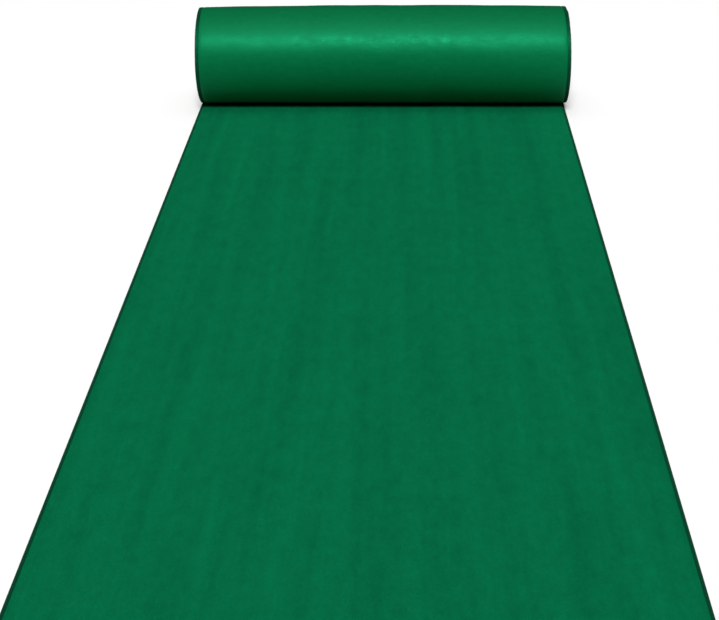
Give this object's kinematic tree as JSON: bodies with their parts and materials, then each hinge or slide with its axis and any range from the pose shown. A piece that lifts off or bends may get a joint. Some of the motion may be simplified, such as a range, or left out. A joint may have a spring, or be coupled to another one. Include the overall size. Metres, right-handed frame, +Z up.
{
  "type": "practice putting mat",
  "caption": "Practice putting mat: a long green turf sheet with a coloured backing and oversewn edges, partly unrolled, its far end wound turf side in on a cardboard core.",
  "frame": {"origin": "on the floor, under the middle of the part's box", "axes": "+Y along the mat from its near end to its roll, +X across the mat, +Z up"},
  "size_m": [0.5, 1.4442, 0.1364],
  "materials": {
    "turf": "matte",
    "backing": "satin",
    "edge_binding": "matte",
    "core": "matte",
    "tape": "satin"
  },
  "bodies": {
    "mat": {"turf_flat": "turf", "backing_flat": "backing", "left_edge_binding_flat": "edge_binding", "right_edge_binding_flat": "edge_binding", "near_end_binding": "edge_binding"},
    "roll_carriage": {"turf_outer_wrap": "turf", "backing_outer_wrap": "backing", "left_edge_binding_outer_wrap": "edge_binding", "right_edge_binding_outer_wrap": "edge_binding"},
    "roll_coil": {"turf_coil": "turf", "backing_coil": "backing", "left_edge_binding_coil": "edge_binding", "right_edge_binding_coil": "edge_binding", "inner_end_binding": "edge_binding", "core_tube": "core", "start_tape": "tape"}
  },
  "joints": [
    {"name": "roll_travel", "type": "slide", "parent": "mat", "child": "roll_carriage", "axis": [0, 1, 0], "range_m": [-0.4153, 0.4153]},
    {"name": "roll_spin", "type": "hinge", "parent": "roll_carriage", "child": "roll_coil", "pos_m": [0, 0.65391, 0.0682], "axis": [1, 0, 0], "range_deg": [-360, 360]}
  ],
  "couplings": [
    {"joint": "roll_spin", "follows": "roll_travel", "rad_per_m": -15.129}
  ]
}
